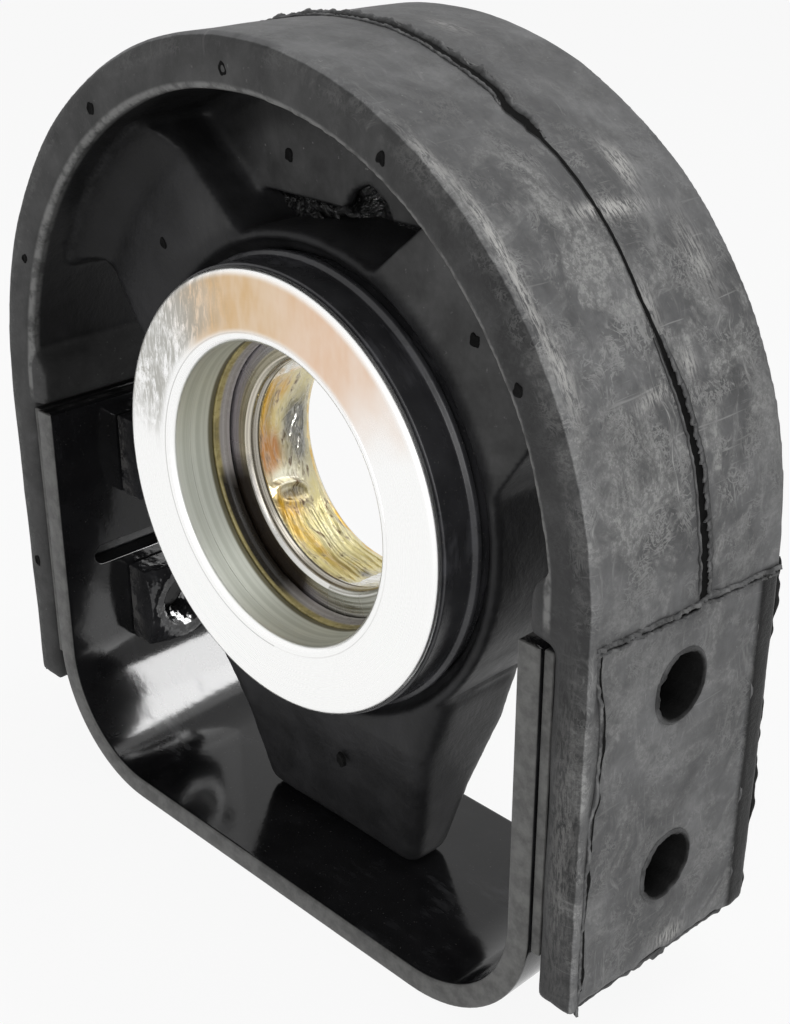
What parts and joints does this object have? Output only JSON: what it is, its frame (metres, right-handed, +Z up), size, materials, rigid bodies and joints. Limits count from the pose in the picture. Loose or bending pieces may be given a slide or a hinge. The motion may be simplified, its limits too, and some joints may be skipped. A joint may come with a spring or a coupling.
{
  "type": "driveshaft centre bearing",
  "caption": "Driveshaft centre support bearing: sealed ball bearing in a one-piece rubber cushion mount, carried by a U-shaped steel strap with bolt holes in its sides",
  "frame": {"origin": "bottom centre of the bounding box, on the strap's flat floor, under the arch's centre", "axes": "+X to the right seen from the front, +Y along the shaft to the back, +Z up; the bearing's bright cover faces -Y"},
  "size_m": [0.208, 0.067, 0.22],
  "materials": {
    "mount_rubber": "matte, dusty",
    "black_paint": "gloss black",
    "bright_steel": "bright zinc plate",
    "bearing_steel": "ground, greased",
    "olive_rubber": "satin",
    "seal_rubber": "matte",
    "cage_plastic": "matte"
  },
  "bodies": {
    "housing": {"rubber_mount": "mount_rubber", "strap": "black_paint", "side_plate_left": "black_paint", "side_plate_right": "black_paint", "weld_nut_left_upper": "black_paint", "weld_nut_left_lower": "black_paint", "weld_nut_right_upper": "black_paint", "weld_nut_right_lower": "black_paint", "carrier_sleeve": "black_paint", "front_cover": "bright_steel", "front_lip_seal": "olive_rubber", "spacer_ring": "bright_steel", "rear_cover": "bright_steel", "outer_ring": "bearing_steel", "front_seal": "seal_rubber", "rear_seal": "seal_rubber"},
    "inner": {"inner_ring": "bearing_steel"},
    "cage_set": {"ball_cage": "cage_plastic", "ball_01": "bearing_steel", "ball_02": "bearing_steel", "ball_03": "bearing_steel", "ball_04": "bearing_steel", "ball_05": "bearing_steel", "ball_06": "bearing_steel", "ball_07": "bearing_steel", "ball_08": "bearing_steel", "ball_09": "bearing_steel", "ball_10": "bearing_steel"}
  },
  "joints": [
    {"name": "shaft_turn", "type": "hinge", "parent": "housing", "child": "inner", "pos_m": [0, 0.0022, 0.1115], "axis": [0, 1, 0], "continuous": true},
    {"name": "cage_turn", "type": "hinge", "parent": "housing", "child": "cage_set", "pos_m": [0, 0.0022, 0.1115], "axis": [0, 1, 0], "continuous": true}
  ],
  "couplings": [
    {"joint": "cage_turn", "follows": "shaft_turn", "ratio": 0.4066}
  ]
}
